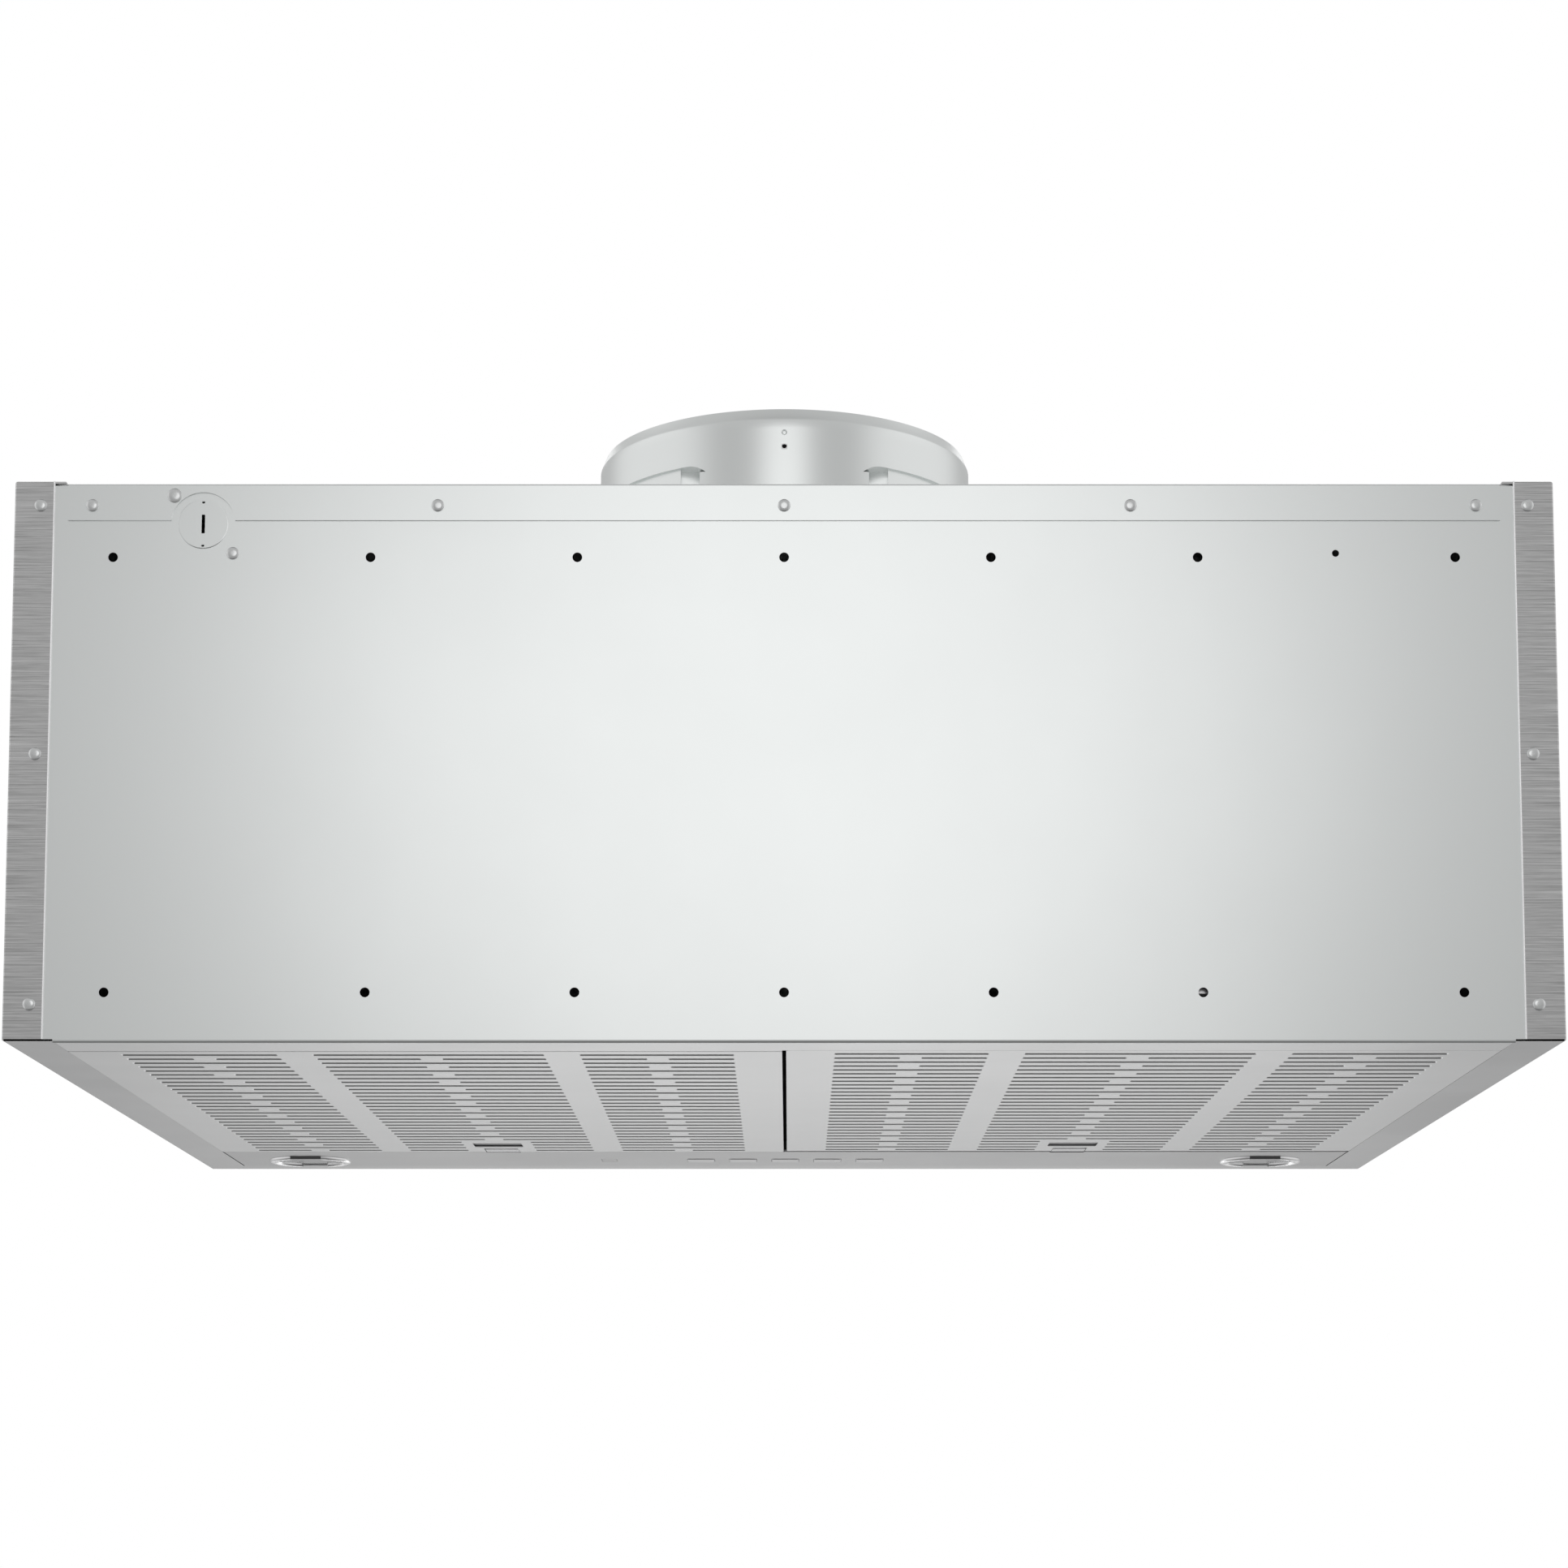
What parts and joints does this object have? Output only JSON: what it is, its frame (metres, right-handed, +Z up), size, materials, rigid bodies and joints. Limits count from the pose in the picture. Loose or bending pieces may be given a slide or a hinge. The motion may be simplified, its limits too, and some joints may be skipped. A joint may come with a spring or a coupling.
{
  "type": "range hood",
  "caption": "Wall-mounted range hood with slotted filters that swing down, push buttons, lamps, an inner blower and a round top duct collar with a damper.",
  "frame": {"origin": "middle of the back panel's rear face, which lies against the wall", "axes": "+Y out of the back towards the wall, the front faces -Y, +Z up, +X to the user's right"},
  "size_m": [0.76, 0.5984, 0.3472],
  "materials": {
    "brushed_stainless": "brushed, grain across",
    "galvanised_sheet": "galvanised, smooth and satin",
    "filter_stainless": "pressed, satin",
    "filter_mesh": "layered mesh",
    "bright_steel": "bright",
    "button_metal": "satin",
    "black_housing": "matte",
    "motor_paint": "black enamel",
    "lamp_glass": "ribbed",
    "window_plastic": "satin",
    "circuit_board": "solder mask",
    "cable_sheath": "satin",
    "can_aluminium": "drawn"
  },
  "bodies": {
    "housing": {"back_panel": "galvanised_sheet", "band_rivet_left_1": "galvanised_sheet", "band_rivet_left_2": "galvanised_sheet", "band_rivet_left_3": "galvanised_sheet", "band_rivet_right_1": "galvanised_sheet", "band_rivet_right_2": "galvanised_sheet", "band_rivet_right_3": "galvanised_sheet", "blower_scroll": "galvanised_sheet", "box_screw_lower": "galvanised_sheet", "box_screw_upper": "galvanised_sheet", "canopy_shell": "brushed_stainless", "control_board": "circuit_board", "control_harness": "cable_sheath", "control_panel": "brushed_stainless", "damper_rod": "bright_steel", "duct_collar": "galvanised_sheet", "fan_motor": "motor_paint", "indicator_lens": "window_plastic", "inlet_ring_left": "galvanised_sheet", "inlet_ring_right": "galvanised_sheet", "junction_box": "galvanised_sheet", "junction_box_cover": "galvanised_sheet", "lamp_housing_left": "can_aluminium", "lamp_housing_right": "can_aluminium", "lamp_lens_left": "lamp_glass", "lamp_lens_right": "lamp_glass", "lamp_ring_left": "brushed_stainless", "lamp_ring_right": "brushed_stainless", "lamp_transformer": "can_aluminium", "motor_bracket": "galvanised_sheet", "motor_lead": "cable_sheath", "rear_rail": "filter_stainless", "run_capacitor": "can_aluminium", "strip_rivet_1": "galvanised_sheet", "strip_rivet_2": "galvanised_sheet", "strip_rivet_3": "galvanised_sheet", "strip_rivet_4": "galvanised_sheet", "strip_rivet_5": "galvanised_sheet", "switch_carrier": "black_housing", "top_panel": "galvanised_sheet"},
    "fan": {"fan_wheel": "galvanised_sheet", "motor_shaft": "bright_steel"},
    "filter_left": {"filter_pan_left": "filter_stainless", "filter_core_left": "filter_mesh"},
    "latch_left": {"filter_latch_left": "bright_steel", "latch_spring_left": "bright_steel"},
    "damper_left": {"damper_flap_left": "galvanised_sheet"},
    "filter_right": {"filter_pan_right": "filter_stainless", "filter_core_right": "filter_mesh"},
    "latch_right": {"filter_latch_right": "bright_steel", "latch_spring_right": "bright_steel"},
    "damper_right": {"damper_flap_right": "galvanised_sheet"},
    "button_1": {"push_button_1": "button_metal"},
    "button_2": {"push_button_2": "button_metal"},
    "button_3": {"push_button_3": "button_metal"},
    "button_4": {"push_button_4": "button_metal"},
    "button_5": {"push_button_5": "button_metal"}
  },
  "joints": [
    {"name": "filter_left_swing", "type": "hinge", "parent": "housing", "child": "filter_left", "pos_m": [-0.178, -0.0324, -0.139], "axis": [1, 0, 0], "range_deg": [0, 75]},
    {"name": "filter_right_swing", "type": "hinge", "parent": "housing", "child": "filter_right", "pos_m": [0.178, -0.036, -0.139], "axis": [1, 0, 0], "range_deg": [0, 75]},
    {"name": "latch_left_slide", "type": "slide", "parent": "filter_left", "child": "latch_left", "axis": [0, 1, 0], "range_m": [0, 0.006], "stiffness_N_per_m": 300, "springref_m": -0.004, "deforming": ["latch_spring_left"]},
    {"name": "latch_right_slide", "type": "slide", "parent": "filter_right", "child": "latch_right", "axis": [0, 1, 0], "range_m": [0, 0.006], "stiffness_N_per_m": 300, "springref_m": -0.004, "deforming": ["latch_spring_right"]},
    {"name": "button_1_press", "type": "slide", "parent": "housing", "child": "button_1", "axis": [0, 0, 1], "range_m": [0, 0.0015], "stiffness_N_per_m": 500, "springref_m": -0.002},
    {"name": "button_2_press", "type": "slide", "parent": "housing", "child": "button_2", "axis": [0, 0, 1], "range_m": [0, 0.0015], "stiffness_N_per_m": 500, "springref_m": -0.002},
    {"name": "button_3_press", "type": "slide", "parent": "housing", "child": "button_3", "axis": [0, 0, 1], "range_m": [0, 0.0015], "stiffness_N_per_m": 500, "springref_m": -0.002},
    {"name": "button_4_press", "type": "slide", "parent": "housing", "child": "button_4", "axis": [0, 0, 1], "range_m": [0, 0.0015], "stiffness_N_per_m": 500, "springref_m": -0.002},
    {"name": "button_5_press", "type": "slide", "parent": "housing", "child": "button_5", "axis": [0, 0, 1], "range_m": [0, 0.0015], "stiffness_N_per_m": 500, "springref_m": -0.002},
    {"name": "damper_left_lift", "type": "hinge", "parent": "housing", "child": "damper_left", "pos_m": [0, -0.184, 0.1858], "axis": [0, 1, 0], "range_deg": [0, 80]},
    {"name": "damper_right_lift", "type": "hinge", "parent": "housing", "child": "damper_right", "pos_m": [0, -0.184, 0.1858], "axis": [0, -1, 0], "range_deg": [0, 80]},
    {"name": "fan_spin", "type": "hinge", "parent": "housing", "child": "fan", "pos_m": [0, -0.215, -0.02], "axis": [1, 0, 0], "continuous": true}
  ]
}
